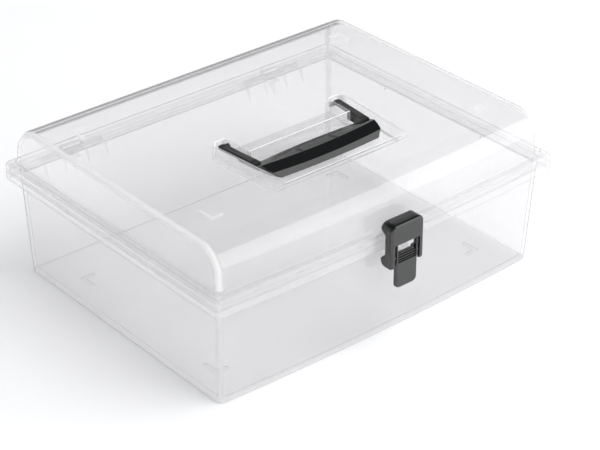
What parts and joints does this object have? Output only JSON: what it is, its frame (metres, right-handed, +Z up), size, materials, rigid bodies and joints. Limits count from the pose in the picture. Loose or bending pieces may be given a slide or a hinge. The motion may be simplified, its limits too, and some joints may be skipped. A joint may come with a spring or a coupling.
{
  "type": "sewing box",
  "caption": "Clear plastic carry box with a domed hinged lid, a black handle that folds into a recess and a black snap latch on the front.",
  "frame": {"origin": "middle of the flat base, on the plane the box stands on, with the rim's outer front and back edges equally far away", "axes": "+X to the right along the box's width, +Y from the latch to the hinges, +Z up"},
  "size_m": [0.292, 0.25, 0.116],
  "materials": {
    "clear_plastic": "clear, glossy",
    "black_plastic": "black, satin"
  },
  "bodies": {
    "tub": {"tub": "clear_plastic", "hinge_pin_left": "clear_plastic", "hinge_pin_right": "clear_plastic"},
    "lid": {"lid": "clear_plastic", "latch_pin": "black_plastic"},
    "handle": {"handle": "black_plastic"},
    "latch_frame": {"latch_frame": "black_plastic", "tongue_pin": "black_plastic"},
    "latch_tongue": {"latch_tongue": "black_plastic"}
  },
  "joints": [
    {"name": "lid_hinge", "type": "hinge", "parent": "tub", "child": "lid", "pos_m": [0, 0.1199, 0.075], "axis": [-1, 0, 0], "range_deg": [0, 110]},
    {"name": "handle_pivot", "type": "hinge", "parent": "lid", "child": "handle", "pos_m": [0, -0.0006, 0.1112], "axis": [-1, 0, 0], "range_deg": [0, 110]},
    {"name": "latch_pivot", "type": "hinge", "parent": "lid", "child": "latch_frame", "pos_m": [0, -0.1196, 0.0877], "axis": [-1, 0, 0], "range_deg": [0, 80]},
    {"name": "tongue_pivot", "type": "hinge", "parent": "latch_frame", "child": "latch_tongue", "pos_m": [0, -0.1247, 0.0676], "axis": [-1, 0, 0], "range_deg": [0, 30]}
  ]
}
